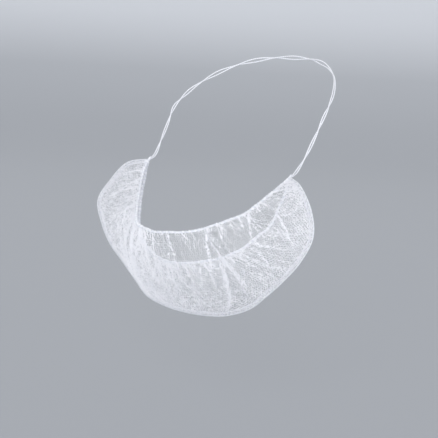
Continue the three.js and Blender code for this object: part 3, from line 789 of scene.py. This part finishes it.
def addPiece(name, part, material, node):
    points, groups, uv = part
    obj = makeMesh(name, points, groups, uv)
    obj.data.materials.append(material)
    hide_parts(node)
    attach(obj, bodyName)
    print(name, sum(len(group) * (group.shape[1] - 2) for group in groups), "triangles")


bodyName = next(iter(frame["bodies"]))
yarn = knittedNylonYarn()
# both covered-yarn finishes paint shade into the colour as grey bands between the turns
edgeYarn = coveredElasticYarn("ruchedNylonNet", ruche["ridgePitch"])
coverYarn = coveredElasticYarn("coveredElasticThread", coveredElastic["plyPitch"])

addPiece("lip_elastic_ruching", gatheredEdge(lipPoints, ruche["lipThickness"], ruche["lipSeed"]),
         edgeYarn, "lip_elastic")
addPiece("throat_elastic_ruching", gatheredEdge(throatPoints, ruche["throatThickness"], ruche["throatSeed"]),
         edgeYarn, "throat_elastic")
addPiece("edge_seam_overlock", overlockedSeam(), edgeYarn, "edge_seam")
addPiece("head_elastic_upper_yarn", headStrand(math.pi / 2), coverYarn, "head_elastic_upper")
addPiece("head_elastic_lower_yarn", headStrand(-math.pi / 2), coverYarn, "head_elastic_lower")
addPiece("side_tack_left_bunch", joinParts(tackParts(1)), edgeYarn, "side_tack_left")
addPiece("side_tack_right_bunch", joinParts(tackParts(-1)), edgeYarn, "side_tack_right")

for panel in panels:
    panel["stations"] = np.linspace(-1, 1, net["stations"])
    panel["lengths"] = pathLength(railAt(panel["rail"], panel["stations"]))
    for half in netHalves(panel, yarn):
        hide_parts(panel["name"])
        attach(half, bodyName)


# Floor and backdrop in one: a round dish far outside the object, plain and pale
studio = {
    "floor": -0.3, "flatRadius": 3.0, "curveOut": 2.4, "curveUp": 0.95, "wall": 1.1,  # m
    "cap": 0.02, "flatRings": 11, "bendRings": 16, "around": 96,
    "roughness": 0.95, "specular": 0.1,
    "colour": "#AAADB2", "litRimColour": "#CDD0D5",  # painted light: lighter towards the rim, as a lit backdrop is
    "fadeFrom": 0.1, "fadeTo": 0.8,  # m up
    "worldColour": "#F1F3F7", "worldStrength": 0.72,
}


def studioDish():
    # A profile of flat floor, quarter ellipse and wall, turned about the middle.
    bend = np.linspace(0, np.pi / 2, studio["bendRings"])[1:]
    flat = np.linspace(studio["cap"], studio["flatRadius"], studio["flatRings"])
    rim = studio["flatRadius"] + studio["curveOut"]
    radius = np.concatenate([flat, studio["flatRadius"] + studio["curveOut"] * np.sin(bend), [rim]])[:, None]
    height = np.concatenate([0 * flat, studio["curveUp"] * (1 - np.cos(bend)), [studio["wall"]]])[:, None]
    turn = np.linspace(0, 2 * np.pi, studio["around"], endpoint=False)[None, :]
    ring = np.broadcast_arrays(radius * np.cos(turn), radius * np.sin(turn), height + studio["floor"])
    number = np.arange(ring[0].size).reshape(-1, studio["around"])
    following = np.roll(number, -1, axis=1)
    quads = np.stack([number[:-1], number[1:], following[1:], following[:-1]], axis=-1).reshape(-1, 4)
    dish = makeMesh("studio_dish", np.stack(ring, axis=-1).reshape(-1, 3) / mm, [quads, number[:1]])
    paper = newMaterial("mattPaperBackdrop")  # seamless paper: no gloss, with painted light lighter up the wall
    spot = addNode(paper, "ShaderNodeTexCoord")
    height = addNode(paper, "ShaderNodeSeparateXYZ", links={0: spot.outputs["Object"]})
    fade = addNode(paper, "ShaderNodeMapRange", {1: studio["fadeFrom"], 2: studio["fadeTo"]},
                   {0: height.outputs["Z"]})
    # painted light: the paper goes from its own colour on the floor to the lighter rim colour up the wall
    toneAndShading = addNode(paper, "ShaderNodeMix", {"data_type": "RGBA", 6: linear(studio["colour"]),
                                            7: linear(studio["litRimColour"])}, {0: fade.outputs[0]})
    shader = addNode(paper, "ShaderNodeBsdfPrincipled",
                     {"Roughness": studio["roughness"], "Specular IOR Level": studio["specular"]},
                     {"Base Color": toneAndShading.outputs[2]})
    dish.data.materials.append(finishMaterial(paper, shader))


studioDish()

world = bpy.data.worlds.new("studioAir")
bpy.context.scene.world = world
world.use_nodes = True
world.node_tree.nodes["Background"].inputs[0].default_value = linear(studio["worldColour"])
world.node_tree.nodes["Background"].inputs[1].default_value = studio["worldStrength"]


def placeLamp(data, azimuth, elevation, distance):
    # Turned to the object from that side, distance in m.
    turned, raised = math.radians(azimuth), math.radians(elevation)
    level = math.cos(raised)
    toLamp = Vector((math.sin(turned) * level, -math.cos(turned) * level, math.sin(raised)))
    lamp = bpy.data.objects.new(data.name, data)
    lamp.location = toLamp * distance
    lamp.rotation_euler = toLamp.to_track_quat("Z", "Y").to_euler()
    bpy.context.scene.collection.objects.link(lamp)
    return lamp


lamps = [  # name, azimuth and elevation in degrees, W/m2, angle across in degrees
    ("keySoftbox", 25, 16, 1.6, 36),
    ("fillSoftbox", 100, 14, 0.7, 50),
    ("rimSoftbox", 215, 18, 1.1, 40),
    ("sideSoftbox", 300, 18, 0.6, 50),
]
for name, azimuth, elevation, strength, across in lamps:
    data = bpy.data.lights.new(name, "SUN")
    data.energy = strength
    data.angle = math.radians(across)
    placeLamp(data, azimuth, elevation, 2)

# distance and side in m, spread in degrees, kept narrow so that the floor stays evenly lit
lowSoftbox = {"azimuth": 35, "elevation": -30, "distance": 0.5, "side": 0.4, "spread": 50, "watts": 0.2}
data = bpy.data.lights.new("lowSoftbox", "AREA")
data.energy = lowSoftbox["watts"]
data.size = lowSoftbox["side"]
data.spread = math.radians(lowSoftbox["spread"])
lamp = placeLamp(data, lowSoftbox["azimuth"], lowSoftbox["elevation"], lowSoftbox["distance"])
lamp.visible_camera = False
print("studio made")

# Camera at the photograph's angle, rolled a little, 438 x 438 frame
view = {
    "azimuth": 35.0, "elevation": 10.0, "roll": 3.0, "distance": 700.0,
    "target": (9.238, -2.523, -41.773), "focalPixels": 819.0, "framePixels": 438.0, "sensor": 36.0,
    "near": 0.01, "far": 20,  # m
}
az, el, roll = (math.radians(view[key]) for key in ("azimuth", "elevation", "roll"))
rightAxis = Vector((math.cos(az), math.sin(az), 0))
backAxis = Vector((math.sin(az) * math.cos(el), -math.cos(az) * math.cos(el), math.sin(el)))
upAxis = backAxis.cross(rightAxis)
rolledRight = rightAxis * math.cos(roll) + upAxis * math.sin(roll)
rolledUp = upAxis * math.cos(roll) - rightAxis * math.sin(roll)
cameraData = bpy.data.cameras.new("photoCamera")
cameraData.sensor_width = view["sensor"]
cameraData.lens = view["focalPixels"] / view["framePixels"] * view["sensor"]
cameraData.clip_start, cameraData.clip_end = view["near"], view["far"]
camera = bpy.data.objects.new("photoCamera", cameraData)
place = (Vector(view["target"]) + backAxis * view["distance"]) * mm
turned = Matrix((rolledRight, rolledUp, backAxis)).transposed().to_4x4()
camera.matrix_world = Matrix.Translation(place) @ turned
bpy.context.scene.collection.objects.link(camera)
bpy.context.scene.camera = camera
bpy.context.scene.view_settings.view_transform = "Standard"
